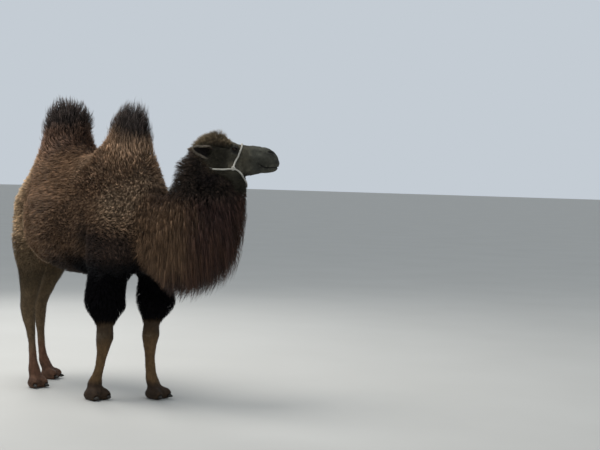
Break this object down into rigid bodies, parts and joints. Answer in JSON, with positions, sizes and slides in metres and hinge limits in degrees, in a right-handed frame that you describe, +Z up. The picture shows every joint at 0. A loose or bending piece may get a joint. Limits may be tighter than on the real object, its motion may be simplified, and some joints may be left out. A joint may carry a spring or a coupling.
{
  "type": "bactrian camel figure",
  "caption": "Life-size standing bactrian camel bull in full winter coat, head turned to its left, wearing a plain rope halter without a lead.",
  "frame": {"origin": "on the floor, below the middle of the whole animal's bounding box", "axes": "+X the way the trunk heads, from tail to chest; +Y to the camel's left; +Z up, with the soles on z = 0"},
  "size_m": [2.2292, 1.0552, 2.1697],
  "materials": {
    "coat_trunk": "dense woolly winter coat, greyish brown",
    "coat_hump": "long coat, nearly black at the tuft",
    "coat_neck": "long hanging mane, dark brown",
    "coat_head": "short dark coat with a curly topknot",
    "coat_leg": "short coat, with long black hair on the upper forelegs",
    "coat_tail": "tufted, dark brown",
    "ear": "short coat with a pale rim",
    "eye": "wet, dark brown",
    "nail": "horn, dull",
    "rope": "twisted cream cord"
  },
  "bodies": {
    "root": {"ear_left": "ear", "ear_right": "ear", "eye_left": "eye", "eye_right": "eye", "halter_chin": "rope", "halter_nose": "rope", "halter_poll": "rope", "head": "coat_head", "hump_front": "coat_hump", "hump_rear": "coat_hump", "knot_left": "rope", "knot_right": "rope", "leg_front_left": "coat_leg", "leg_front_right": "coat_leg", "leg_hind_left": "coat_leg", "leg_hind_right": "coat_leg", "nail_front_left_inner": "nail", "nail_front_left_outer": "nail", "nail_front_right_inner": "nail", "nail_front_right_outer": "nail", "nail_hind_left_inner": "nail", "nail_hind_left_outer": "nail", "nail_hind_right_inner": "nail", "nail_hind_right_outer": "nail", "neck": "coat_neck", "tail": "coat_tail", "trunk": "coat_trunk"}
  },
  "joints": []
}
